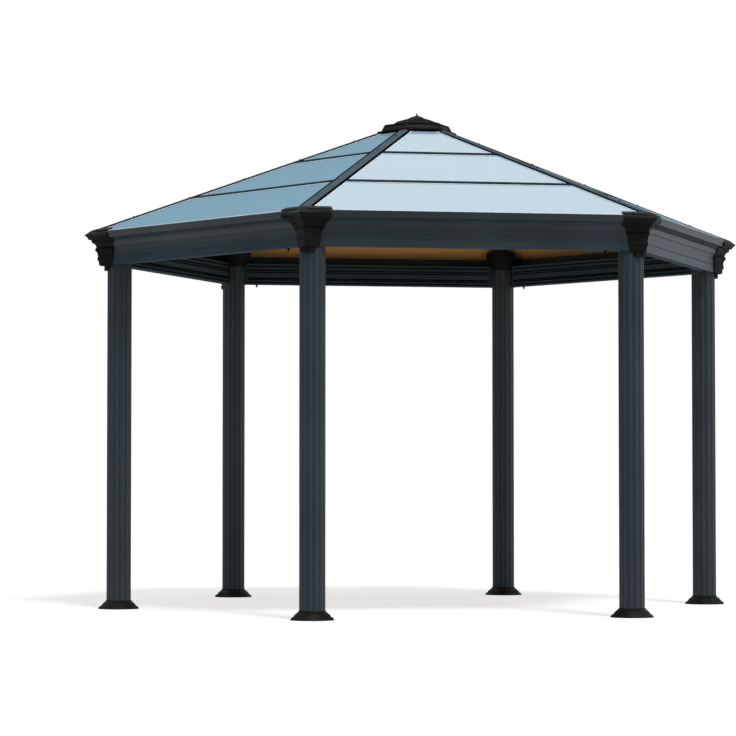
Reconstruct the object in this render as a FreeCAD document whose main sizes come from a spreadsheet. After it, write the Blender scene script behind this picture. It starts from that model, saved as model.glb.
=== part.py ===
"""A hexagonal aluminium pavilion: six fluted posts, moulded eave beams, a sheeted roof and a tiered crown.

All sizes are in millimetres. The origin is on the ground under the crown, +Z is up, the six posts
stand at 0, 60, 120, 180, 240 and 300 degrees about +Z, and the front bay faces -Y.
"""
import FreeCAD, Part
import math
import os
import Sketcher

SIDES = 6
CORNER_STEP = 360.0 / SIDES
HALF_STEP = CORNER_STEP / 2

SIZES = {
    # plan
    "post_spacing": 1950,
    "fit_gap": 0.3,
    # posts and feet
    "post_width": 156,
    "post_wall": 3,
    "flute_count": 12,
    "flute_width": 30,
    "flute_depth": 4.5,
    "plate_width": 226,
    "plate_thickness": 8,
    "anchor_circle": 190,
    "anchor_hole": 14,
    "anchor_count": 4,
    "foot_width": 262,
    "foot_height": 54,
    "foot_collar": 166,
    "foot_lip": 2,
    "foot_ring": 10,
    "foot_ring_height": 16,
    "foot_ledge": 6,
    "foot_bulge": 2,
    "foot_neck": 5,
    "foot_wall": 4,
    # eave beams
    "clear_height": 2204,
    "beam_width": 68,
    "beam_wall": 3,
    "face_setout": 1.3,
    "field_height": 116,
    "field_bow": 6,
    "line_height": 47,
    "line_depth": 2,
    "band_height": 17,
    "band_step": 8,
    "band_slant": 10,
    "cyma_height": 28,
    "cyma_reach": 26,
    "lip_groove": 5,
    "lip_step": 22,
    "lip_height": 39,
    "lip_slant": 18,
    "lip_wall": 4,
    "inner_height": 146,
    "inner_ledge": 5,
    "rib_low": 40,
    "rib_high": 83,
    "rib_line": 4,
    # roof
    "roof_pitch": 22.56,
    "sheet_thickness": 8,
    "sheet_bearing": 14,
    "row_inner": 131,
    "row_pitch": 585,
    "row_gap": 6,
    "hip_gap": 7,
    "rafter_width": 40,
    "rafter_depth": 60,
    "rafter_ledge": 27,
    "rafter_wall": 3,
    "cap_width": 68,
    "cap_rise": 7,
    "purlin_width": 32,
    "purlin_rise": 6,
    "hub_width": 220,
    "hub_sole": 6,
    "hub_wall": 12,
    # head brackets
    "bracket_sink": 27,
    "bracket_height": 95,
    "bracket_flare": 120,
    "bracket_collar": 3.5,
    "bracket_wall": 8,
    # corner caps
    "corner_proud": 36,
    "base_taper": 18,
    "band_taper": 12,
    "lip_taper": 6.5,
    "corner_wing": 185,
    "corner_waist": 75,
    "corner_top": 9,
    "corner_back": 46,
    "corner_verge": 10,
    "corner_sole": 9,
    "tongue_width": 96,
    "tongue_drop": 38,
    "tongue_thickness": 21,
    "tongue_rounding": 20,
    # crown
    "crown_width": 526,
    "crown_wall": 3,
    "crown_bead": 6,
    "crown_groove": 2,
    "flange_height": 14,
    "lower_neck": 462,
    "lower_shoulder": 434,
    "lower_height": 55,
    "lower_rise": 9,
    "middle_width": 300,
    "middle_shoulder": 256,
    "middle_ring": 194,
    "middle_height": 36,
    "upper_width": 116,
    "upper_height": 24,
    "spike_width": 12,
    "spike_height": 18,
    # drain spouts
    "spout_width": 12,
    "spout_length": 18,
    "spout_inset": 92,
}

doc = FreeCAD.newDocument("pavilion")
sheet = doc.addObject("Spreadsheet::Sheet", "Sizes")
for row, (alias, number) in enumerate(SIZES.items(), start=1):
    sheet.set(f"A{row}", alias)
    sheet.set(f"B{row}", str(number))
    sheet.setAlias(f"B{row}", alias)
doc.recompute()


def size(alias):
    """The cell of one driving size, as an expression."""
    return "Sizes." + alias


def add(*terms):
    """The sum of some expressions."""
    return "(" + " + ".join(terms) + ")"


def less(first, *terms):
    """The first expression less all the others."""
    return "(" + " - ".join((first,) + terms) + ")"


def times(*factors):
    """The product of some expressions."""
    return "(" + " * ".join(factors) + ")"


def part_of(top, bottom):
    """One expression divided by another."""
    return f"({top} / {bottom})"


def value(expression):
    """The number that an expression has now."""
    result = sheet.evalExpression(expression)
    return float(getattr(result, "Value", result))


# Levels and distances that several pieces share, each worked out from the driving sizes.
# A face distance is measured square to a bay, a corner distance along the line to a post.
COS_CORNER = f"cos({HALF_STEP})"
TAN_CORNER = f"tan({HALF_STEP})"
SIN_CORNER = f"sin({HALF_STEP})"
GAP = size("fit_gap")
POST_RADIUS = part_of(size("post_width"), "2")
FACE_OUT = add(times(size("post_spacing"), COS_CORNER), POST_RADIUS, size("face_setout"))
FACE_IN = less(FACE_OUT, size("beam_width"))
SOFFIT = size("clear_height")
FIELD_TOP = add(SOFFIT, size("field_height"))
BAND_TOP = add(FIELD_TOP, size("band_height"))
CYMA_TOP = add(BAND_TOP, size("cyma_height"))
LIP_LOW = add(CYMA_TOP, size("lip_groove"))
EAVE_TOP = add(LIP_LOW, size("lip_height"))
BAND_OUT = add(FACE_OUT, size("field_bow"), size("band_step"))
CYMA_OUT = add(BAND_OUT, size("band_slant"))
GROOVE_OUT = add(CYMA_OUT, size("cyma_reach"))
LIP_OUT = add(GROOVE_OUT, size("lip_step"))
EAVE_OUT = add(LIP_OUT, size("lip_slant"))
PITCH_TAN = f"tan({size('roof_pitch')})"
PITCH_COS = f"cos({size('roof_pitch')})"
HIP_FALL = times(PITCH_TAN, COS_CORNER)
SHEET_DROP = part_of(size("sheet_thickness"), PITCH_COS)
SHEET_OUT = less(EAVE_OUT, size("lip_wall"), GAP)
BRACKET_FOOT = less(add(SOFFIT, size("inner_height")), size("bracket_sink"))


def roof_at(face_distance):
    """Height of the roof sheets' top at a distance square to a bay."""
    return add(EAVE_TOP, times(PITCH_TAN, less(EAVE_OUT, face_distance)))


def hip_at(corner_distance):
    """Height where two roof planes meet, at a distance along a hip."""
    return roof_at(times(corner_distance, COS_CORNER))


def to_corner(face_distance):
    """Corner distance of the mitre point of a line that runs along a bay."""
    return part_of(face_distance, COS_CORNER)


def new_body(label, turn=0.0):
    """A named body, turned about the pavilion's upright axis."""
    body = doc.addObject("PartDesign::Body", label)
    body.Label = label
    upright = FreeCAD.Vector(0, 0, 1)
    body.Placement = FreeCAD.Placement(FreeCAD.Vector(0, 0, 0), FreeCAD.Rotation(upright, turn))
    return body


def new_sketch(body, name, role, lift=None, turn=None):
    """A sketch on one of the body's origin planes, lifted off it or turned by an axis and an angle."""
    sketch = body.newObject("Sketcher::SketchObject", name)
    plane = next(f for f in body.Origin.OriginFeatures if f.Role == role)
    sketch.AttachmentSupport = [(plane, "")]
    sketch.MapMode = "FlatFace"
    if turn is not None:
        axis, angle = turn
        rotation = FreeCAD.Rotation(FreeCAD.Vector(*axis), value(angle))
        sketch.AttachmentOffset = FreeCAD.Placement(FreeCAD.Vector(0, 0, 0), rotation)
        sketch.setExpression("AttachmentOffset.Rotation.Angle", angle)
    if lift is not None:
        for axis, distance in lift.items():
            sketch.setExpression(f"AttachmentOffset.Base.{axis}", distance)
    return sketch


def pin_point(sketch, geometry, end, x, y):
    """Holds one end of a line or arc at a place given by two expressions."""
    for kind, expression in (("DistanceX", x), ("DistanceY", y)):
        held = sketch.addConstraint(Sketcher.Constraint(kind, -1, 1, geometry, end, value(expression)))
        sketch.setExpression(f"Constraints[{held}]", expression)


def outline(sketch, corners):
    """A closed outline. A corner (x, y) is reached by a line, and (mx, my, x, y) by an arc through mx, my."""
    spots = [FreeCAD.Vector(value(c[-2]), value(c[-1]), 0) for c in corners]
    first = None
    previous = None
    for index, corner in enumerate(corners):
        start, end = spots[index - 1], spots[index]
        if len(corner) == 4:
            middle = FreeCAD.Vector(value(corner[0]), value(corner[1]), 0)
            edge = sketch.addGeometry(Part.Arc(start, middle, end), False)
            through = sketch.addGeometry(Part.Point(middle), True)
            pin_point(sketch, through, 1, corner[0], corner[1])
            sketch.addConstraint(Sketcher.Constraint("PointOnObject", through, 1, edge))
            begins, ends = arc_ends(sketch, edge, start)
        else:
            edge = sketch.addGeometry(Part.LineSegment(start, end), False)
            begins, ends = 1, 2
        pin_point(sketch, edge, ends, corner[-2], corner[-1])
        if previous is not None:
            sketch.addConstraint(Sketcher.Constraint("Coincident", previous[0], previous[1], edge, begins))
        else:
            first = (edge, begins)
        previous = (edge, ends)
    sketch.addConstraint(Sketcher.Constraint("Coincident", previous[0], previous[1], first[0], first[1]))


def arc_ends(sketch, edge, start):
    """Which end of an arc lies at its start, since an arc always runs anticlockwise."""
    if sketch.getPoint(edge, 1).distanceToPoint(start) < 0.01:
        return 1, 2
    return 2, 1


def circle(sketch, x, y, radius):
    """A circle whose centre and radius are expressions."""
    centre = FreeCAD.Vector(value(x), value(y), 0)
    ring = sketch.addGeometry(Part.Circle(centre, FreeCAD.Vector(0, 0, 1), value(radius)), False)
    pin_point(sketch, ring, 3, x, y)
    held = sketch.addConstraint(Sketcher.Constraint("Radius", ring, value(radius)))
    sketch.setExpression(f"Constraints[{held}]", radius)


def extrude(body, kind, name, sketch, length, reverse=False, both=False, along=None):
    """A pad or pocket of a sketch. along is a direction in the body, with the length along the sketch's normal."""
    feature = body.newObject("PartDesign::" + kind, name)
    feature.Profile = sketch
    feature.setExpression("Length", length)
    feature.Reversed = reverse
    if both:
        feature.SideType = "Symmetric"
    if along is not None:
        feature.UseCustomVector = True
        feature.AlongSketchNormal = True
        for axis, expression in zip("xyz", along):
            feature.setExpression(f"Direction.{axis}", expression)
    return feature


def turned(body, kind, name, sketch):
    """A revolution or groove about the sketch's own upright axis."""
    feature = body.newObject("PartDesign::" + kind, name)
    feature.Profile = sketch
    feature.ReferenceAxis = (sketch, ["V_Axis"])
    feature.Angle = 360
    return feature


def around(body, name, count, originals=None):
    """Copies of some features, or of all that the body holds, around the body's upright axis."""
    pattern = body.newObject("PartDesign::PolarPattern", name)
    if originals is None:
        pattern.TransformMode = "Whole shape"
        pattern.BaseFeature = body.Tip
    else:
        pattern.Originals = originals
    axis = next(f for f in body.Origin.OriginFeatures if f.Role == "Z_Axis")
    pattern.Axis = (axis, [""])
    pattern.Angle = 360
    pattern.setExpression("Occurrences", count)
    body.Tip = pattern
    return pattern


def mirrored(body, name, role):
    """The other half of all that the body holds, across one of its origin planes."""
    mirror = body.newObject("PartDesign::Mirrored", name)
    mirror.TransformMode = "Whole shape"
    mirror.BaseFeature = body.Tip
    plane = next(f for f in body.Origin.OriginFeatures if f.Role == role)
    mirror.MirrorPlane = (plane, [""])
    body.Tip = mirror
    return mirror


def make_post(label, turn):
    """A fluted tube that stands on its base plate and carries a head bracket."""
    body = new_body(label, turn)
    ring = new_sketch(body, label + "_ring", "XY_Plane", lift={"z": size("plate_thickness")})
    circle(ring, "0", "0", POST_RADIUS)
    circle(ring, "0", "0", less(POST_RADIUS, size("flute_depth"), size("post_wall")))
    extrude(body, "Pad", label + "_tube", ring, less(BRACKET_FOOT, size("plate_thickness")))
    half = part_of(size("flute_width"), "2")
    cutter = add(part_of(times(half, half), times("2", size("flute_depth"))), part_of(size("flute_depth"), "2"))
    round_cut = new_sketch(body, label + "_cutter", "XY_Plane")
    centre = less(add(POST_RADIUS, cutter), size("flute_depth"))
    phase = f"(180 / {size('flute_count')})"
    circle(round_cut, times(centre, f"cos{phase}"), times(centre, f"sin{phase}"), cutter)
    flute = extrude(body, "Pocket", label + "_flute", round_cut, BRACKET_FOOT, reverse=True)
    around(body, label + "_flutes", size("flute_count"), [flute])
    place_at_post(body, turn)
    return body


def place_at_post(body, turn):
    """Moves a body that is modelled about a post's axis out to that post."""
    reach = f"{math.cos(math.radians(turn))!r}", f"{math.sin(math.radians(turn))!r}"
    body.setExpression("Placement.Base.x", times(size("post_spacing"), reach[0]))
    body.setExpression("Placement.Base.y", times(size("post_spacing"), reach[1]))


def make_foot_cover(label, turn):
    """A turned cover with a lip, a ring and a hollow flare up to a collar around the post."""
    body = new_body(label, turn)
    side = new_sketch(body, label + "_side", "XZ_Plane")
    edge = part_of(size("foot_width"), "2")
    collar = part_of(size("foot_collar"), "2")
    wall = size("foot_wall")
    top = size("foot_height")
    ring_top = size("foot_ring_height")
    ledge_out = less(edge, size("foot_ring"))
    bell_out = less(ledge_out, size("foot_ledge"))
    bell_top = less(top, size("foot_neck"))
    middle_x = add(part_of(add(bell_out, collar), "2"), size("foot_bulge"))
    middle_z = add(part_of(add(ring_top, bell_top), "2"), size("foot_bulge"))
    bore = add(POST_RADIUS, GAP)
    outline(side, [
        (bore, top),
        (bore, less(bell_top, wall)),
        (less(edge, wall), "0"),
        (edge, "0"),
        (edge, size("foot_lip")),
        (ledge_out, ring_top),
        (bell_out, ring_top),
        (middle_x, middle_z),
        (collar, bell_top),
        (collar, top),
    ])
    turned(body, "Revolution", label + "_turned", side)
    place_at_post(body, turn)
    return body


def make_base_plates(label):
    """Round plates under the posts, each with a circle of anchor holes."""
    body = new_body(label)
    rim = new_sketch(body, label + "_rim", "XY_Plane")
    circle(rim, size("post_spacing"), "0", part_of(size("plate_width"), "2"))
    extrude(body, "Pad", label + "_plate", rim, size("plate_thickness"))
    holes = new_sketch(body, label + "_holes", "XY_Plane")
    for index in range(SIZES["anchor_count"]):
        angle = f"({index + 0.5} * 360 / {size('anchor_count')})"
        reach = part_of(size("anchor_circle"), "2")
        x = add(size("post_spacing"), times(reach, f"cos{angle}"))
        circle(holes, x, times(reach, f"sin{angle}"), part_of(size("anchor_hole"), "2"))
    extrude(body, "Pocket", label + "_drilled", holes, size("plate_thickness"), reverse=True)
    around(body, label + "_all", str(SIDES))
    return body


def fascia_outline(setout, bottom, top):
    """The moulded outer face from bottom to top, set out square to it by an expression."""
    line_low = add(SOFFIT, size("line_height"))
    field_out = add(FACE_OUT, size("field_bow"))
    middle_out = add(FACE_OUT, part_of(size("field_bow"), "4"))
    cyma_low = (add(CYMA_OUT, part_of(size("cyma_reach"), "6")), add(BAND_TOP, part_of(size("cyma_height"), "2.2")))
    cyma_high = (add(CYMA_OUT, part_of(size("cyma_reach"), "2")), add(BAND_TOP, part_of(size("cyma_height"), "1.2")))
    return [
        (add(FACE_OUT, setout), bottom),
        (add(FACE_OUT, setout), line_low),
        (less(add(FACE_OUT, setout), size("line_depth")), add(line_low, size("line_depth"))),
        (add(FACE_OUT, setout), add(line_low, size("line_depth"), size("line_depth"))),
        (add(middle_out, setout), part_of(add(line_low, FIELD_TOP), "2")),
        (add(field_out, setout), FIELD_TOP),
        (add(BAND_OUT, setout), FIELD_TOP),
        (add(CYMA_OUT, setout), BAND_TOP),
        (add(cyma_low[0], setout), cyma_low[1]),
        (add(cyma_high[0], setout), cyma_high[1]),
        (add(GROOVE_OUT, setout), CYMA_TOP),
        (add(GROOVE_OUT, setout), LIP_LOW),
        (add(LIP_OUT, setout), LIP_LOW),
        (add(EAVE_OUT, setout), top),
    ]


def make_eave_beam(label, turn):
    """A closed beam with a moulded fascia, a ribbed inner face and a lip that carries the sheets."""
    body = new_body(label, turn)
    section = new_sketch(body, label + "_section", "XZ_Plane")
    wall = size("lip_wall")
    lip_in = less(EAVE_OUT, wall)
    seat_in = less(lip_in, size("sheet_bearing"))
    box_top = add(SOFFIT, size("inner_height"))
    seat = lambda x: less(roof_at(x), SHEET_DROP)
    line = size("rib_line")
    rib_lines = []
    for low in (add(SOFFIT, size("rib_high")), add(SOFFIT, size("rib_low"))):
        rib_lines += [
            (FACE_IN, add(low, line)),
            (add(FACE_IN, line), add(low, line)),
            (add(FACE_IN, line), low),
            (FACE_IN, low),
        ]
    outline(section, fascia_outline("0", SOFFIT, EAVE_TOP) + [
        (lip_in, roof_at(lip_in)),
        (lip_in, seat(lip_in)),
        (seat_in, seat(seat_in)),
        (less(seat_in, wall), less(seat(seat_in), wall)),
        (less(LIP_OUT, wall, wall), add(LIP_LOW, wall)),
        (less(GROOVE_OUT, wall), add(LIP_LOW, "1")),
        (less(CYMA_OUT, wall), add(BAND_TOP, wall, wall)),
        (less(CYMA_OUT, wall), box_top),
        (less(FACE_IN, size("inner_ledge")), box_top),
        (less(FACE_IN, size("inner_ledge")), less(box_top, size("inner_ledge"))),
        (FACE_IN, less(box_top, size("inner_ledge"), size("inner_ledge"))),
    ] + rib_lines + [(FACE_IN, SOFFIT)])
    inside = size("beam_wall")
    left = add(FACE_IN, line, inside)
    right = less(FACE_OUT, inside, size("line_depth"))
    outline(section, [
        (left, add(SOFFIT, inside)),
        (right, add(SOFFIT, inside)),
        (right, less(box_top, inside)),
        (left, less(box_top, inside)),
    ])
    extrude(body, "Pad", label + "_extrusion", section, times("2", EAVE_OUT, TAN_CORNER), both=True)
    far = add(EAVE_OUT, "50")
    near = less(FACE_IN, "50")
    slack = part_of(part_of(GAP, "2"), COS_CORNER)
    mitre = new_sketch(body, label + "_mitre", "XY_Plane")
    for sign in ("1", "-1"):
        outline(mitre, [
            (near, times(sign, less(times(near, TAN_CORNER), slack))),
            (far, times(sign, less(times(far, TAN_CORNER), slack))),
            (near, times(sign, far)),
        ])
    extrude(body, "Pocket", label + "_mitred", mitre, add(EAVE_TOP, "100"), reverse=True)
    centre_x = times(size("post_spacing"), COS_CORNER)
    centre_y = times(size("post_spacing"), SIN_CORNER)
    notch = new_sketch(body, label + "_notch", "XY_Plane")
    collar = new_sketch(body, label + "_collar", "XY_Plane", lift={"z": less(BRACKET_FOOT, GAP)})
    for sign in ("1", "-1"):
        circle(notch, centre_x, times(sign, centre_y), add(POST_RADIUS, GAP))
        circle(collar, centre_x, times(sign, centre_y), add(POST_RADIUS, size("bracket_collar"), GAP))
    extrude(body, "Pocket", label + "_post_notch", notch, EAVE_TOP, reverse=True)
    extrude(body, "Pocket", label + "_collar_notch", collar, size("inner_height"), reverse=True)
    return body


def make_head_brackets(label):
    """Cast brackets on the post tops, flared inwards under the hip rafters."""
    body = new_body(label)
    reach = size("post_spacing")
    core = add(POST_RADIUS, size("bracket_collar"))
    top = add(BRACKET_FOOT, size("bracket_height"), size("bracket_height"))
    rise = add(BRACKET_FOOT, size("bracket_height"))
    flare = new_sketch(body, label + "_flare", "XZ_Plane", lift={"x": reach})
    outline(flare, [
        ("0", BRACKET_FOOT),
        (core, BRACKET_FOOT),
        (core, add(BRACKET_FOOT, "12")),
        (add(core, "7"), add(BRACKET_FOOT, "12")),
        (add(core, "14"), add(BRACKET_FOOT, "55")),
        (size("bracket_flare"), less(rise, "10")),
        (size("bracket_flare"), top),
        ("0", top),
    ])
    turned(body, "Revolution", label + "_bowl", flare)
    trim = new_sketch(body, label + "_trim", "XY_Plane", lift={"z": BRACKET_FOOT})
    apex = to_corner(less(FACE_IN, size("inner_ledge"), GAP))
    side = add(size("bracket_flare"), "60")
    outline(trim, [
        (apex, "0"),
        (less(apex, times(side, SIN_CORNER)), times(side, COS_CORNER)),
        (add(apex, side), times(side, COS_CORNER)),
        (add(apex, side), times("-1", side, COS_CORNER)),
        (less(apex, times(side, SIN_CORNER)), times("-1", side, COS_CORNER)),
    ])
    extrude(body, "Pocket", label + "_trimmed", trim, top, reverse=True)
    disc = new_sketch(body, label + "_disc", "XY_Plane", lift={"z": BRACKET_FOOT})
    circle(disc, reach, "0", core)
    extrude(body, "Pad", label + "_boss", disc, less(top, BRACKET_FOOT))
    slope = new_sketch(body, label + "_slope", "XZ_Plane")
    under = lambda x: less(hip_at(x), size("rafter_depth"))
    near = less(reach, size("bracket_flare"), "20")
    far = add(reach, size("bracket_flare"), "20")
    outline(slope, [
        (near, under(near)),
        (far, under(far)),
        (far, add(top, "200")),
        (near, add(top, "200")),
    ])
    extrude(body, "Pocket", label + "_sloped", slope, times("4", size("bracket_flare")), both=True)
    well = new_sketch(body, label + "_well", "XY_Plane", lift={"z": add(BRACKET_FOOT, size("bracket_wall"))})
    circle(well, reach, "0", less(core, size("bracket_wall")))
    extrude(body, "Pocket", label + "_hollowed", well, top, reverse=True)
    around(body, label + "_all", str(SIDES))
    return body


def hip_section(body, name, start, points):
    """A mirrored outline across a hip at a corner distance, with heights measured from the hip line."""
    section = new_sketch(body, name, "YZ_Plane", lift={"z": start, "y": hip_at(start)})
    right = [(x, y) for x, y in points]
    left = [(times("-1", x), y) for x, y in reversed(points)]
    outline(section, right + left)
    return section


def lean(thickness):
    """How far the side of a sheet of this thickness leans towards the hip, since it is cut square to the roof."""
    return times(thickness, f"sin({size('roof_pitch')})", SIN_CORNER)


def along_hip():
    """Direction of a hip line, out and down."""
    return ("1", "0", times("-1", HIP_FALL))


def make_hip_rafter(label, turn):
    """A ribbed hollow rafter with two sloping ledges for the sheets and a neck up between them."""
    body = new_body(label, turn)
    start = add(part_of(size("hub_width"), "2"), GAP)
    end = less(to_corner(GROOVE_OUT), "18")
    half = part_of(size("rafter_width"), "2")
    ledge = size("rafter_ledge")
    neck = less(size("hip_gap"), lean(size("sheet_thickness")), GAP)
    fall = times(PITCH_TAN, SIN_CORNER)
    drop = lambda x: times("-1", add(SHEET_DROP, times(fall, x)))
    deep = times("-1", size("rafter_depth"))
    rib = part_of(size("rafter_depth"), "12")
    points = [
        (neck, less(times("-1", times(fall, neck)), GAP)),
        (neck, drop(neck)),
        (ledge, drop(ledge)),
        (ledge, less(drop(ledge), size("rafter_wall"))),
        (half, less(drop(ledge), size("rafter_wall"), rib)),
        (half, add(deep, times(rib, "5"))),
        (less(half, "3"), add(deep, times(rib, "4.5"))),
        (less(half, "3"), add(deep, times(rib, "3.5"))),
        (half, add(deep, times(rib, "3"))),
        (half, add(deep, rib)),
        (less(half, rib), deep),
        (part_of(half, "3"), deep),
        (part_of(half, "4"), add(deep, "3")),
    ]
    section = hip_section(body, label + "_section", start, points)
    wall = size("rafter_wall")
    bore = less(half, "3", wall)
    outline(section, [
        (bore, add(deep, "3", wall)),
        (bore, less(drop(ledge), size("rafter_wall"), rib)),
        (times("-1", bore), less(drop(ledge), size("rafter_wall"), rib)),
        (times("-1", bore), add(deep, "3", wall)),
    ])
    extrude(body, "Pad", label + "_extrusion", section, less(end, start), along=along_hip())
    return body


def make_hip_caps(label):
    """Pressed caps over the joints between the roof faces."""
    body = new_body(label)
    start = add(part_of(size("crown_width"), "2"), GAP)
    end = less(corner_top_in(), GAP)
    half = part_of(size("cap_width"), "2")
    fall = times(PITCH_TAN, SIN_CORNER)
    on_sheet = lambda x: less(GAP, times(fall, x))
    above = lambda x, rise: add(rise, times("-1", times(fall, x)))
    rise = size("cap_rise")
    section = new_sketch(body, label + "_section", "YZ_Plane", lift={"z": start, "y": hip_at(start)})
    step = "5"
    right = [
        (half, on_sheet(half)),
        (half, above(half, "3")),
        (less(half, step), above(less(half, step), "3.5")),
        (less(half, step, "1.5"), above(less(half, step), rise)),
    ]
    left = [(times("-1", x), y) for x, y in reversed(right)]
    outline(section, right + [("0", rise)] + left + [("0", GAP)])
    extrude(body, "Pad", label + "_cap", section, less(end, start), along=along_hip())
    chevron = new_sketch(body, label + "_chevron", "XY_Plane")
    back = less(end, times(size("cap_width"), TAN_CORNER))
    outline(chevron, [
        (end, "0"),
        (back, size("cap_width")),
        (add(end, "50"), size("cap_width")),
        (add(end, "50"), times("-1", size("cap_width"))),
        (back, times("-1", size("cap_width"))),
    ])
    extrude(body, "Pocket", label + "_mitred", chevron, add(EAVE_TOP, "100"), reverse=True)
    around(body, label + "_all", str(SIDES))
    return body


def roof_sketch(body, name):
    """A sketch in the plane of the roof sheets' top, x down the slope from the eave and y along it."""
    sketch = new_sketch(body, name, "XY_Plane", turn=((0, 1, 0), size("roof_pitch")))
    sketch.setExpression("AttachmentOffset.Base.x", EAVE_OUT)
    sketch.setExpression("AttachmentOffset.Base.z", EAVE_TOP)
    return sketch


def down_slope(face_distance):
    """Sketch x of a face distance, in the plane of the roof sheets."""
    return part_of(less(face_distance, EAVE_OUT), PITCH_COS)


def strip(sketch, inner, outer, side_gap):
    """A strip of roof between two face distances, held back from the hips at both ends."""
    inner_half = less(times(inner, TAN_CORNER), part_of(side_gap, COS_CORNER))
    outer_half = less(times(outer, TAN_CORNER), part_of(side_gap, COS_CORNER))
    outline(sketch, [
        (down_slope(inner), inner_half),
        (down_slope(outer), outer_half),
        (down_slope(outer), times("-1", outer_half)),
        (down_slope(inner), times("-1", inner_half)),
    ])


def row_line(row):
    """Face distance of the line between two rows of sheets."""
    return add(size("row_inner"), times(str(row), size("row_pitch")))


def make_roof_panels(label, turn):
    """Three sheets, one above the other, on one face of the roof."""
    body = new_body(label, turn)
    plan = roof_sketch(body, label + "_plan")
    half_gap = part_of(size("row_gap"), "2")
    strip(plan, size("row_inner"), less(row_line(1), half_gap), size("hip_gap"))
    strip(plan, add(row_line(1), half_gap), less(row_line(2), half_gap), size("hip_gap"))
    strip(plan, add(row_line(2), half_gap), SHEET_OUT, size("hip_gap"))
    extrude(body, "Pad", label + "_sheets", plan, size("sheet_thickness"), reverse=True)
    return body


def make_purlins(label):
    """Bars that join the rows of sheets: a capped strip above, a web between and a flange below."""
    body = new_body(label, HALF_STEP)
    half = part_of(size("purlin_width"), "2")
    web = less(part_of(size("row_gap"), "2"), GAP)
    top_gap = add(part_of(size("cap_width"), "2"), "1")
    low_gap = add(size("rafter_ledge"), lean(add(size("sheet_thickness"), size("purlin_rise"))), GAP)
    for row in (1, 2):
        name = f"{label}_{row}"
        middle = row_line(row)
        flat = roof_sketch(body, name + "_top_plan")
        strip(flat, less(middle, half), add(middle, half), top_gap)
        extrude(body, "Pad", name + "_top", flat, size("purlin_rise"))
        flange = roof_sketch(body, name + "_flange_plan")
        flange.setExpression("AttachmentOffset.Base.z", less(EAVE_TOP, SHEET_DROP))
        strip(flange, less(middle, half), add(middle, half), low_gap)
        extrude(body, "Pad", name + "_flange", flange, size("purlin_rise"), reverse=True)
        rib = roof_sketch(body, name + "_web_plan")
        strip(rib, less(middle, web), add(middle, web), low_gap)
        extrude(body, "Pad", name + "_web", rib, add(size("sheet_thickness"), "1"), reverse=True)
    around(body, label + "_all", str(SIDES))
    return body


def corner_top_in():
    """Corner distance where the top of a corner cap begins."""
    return less(to_corner(EAVE_OUT), size("corner_back"))


def sweep(taper):
    """Direction of a wing that leans back to the face by an angle."""
    angle = add(str(HALF_STEP), taper)
    return (f"(-sin({angle}))", f"cos({angle})", "0")


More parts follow.
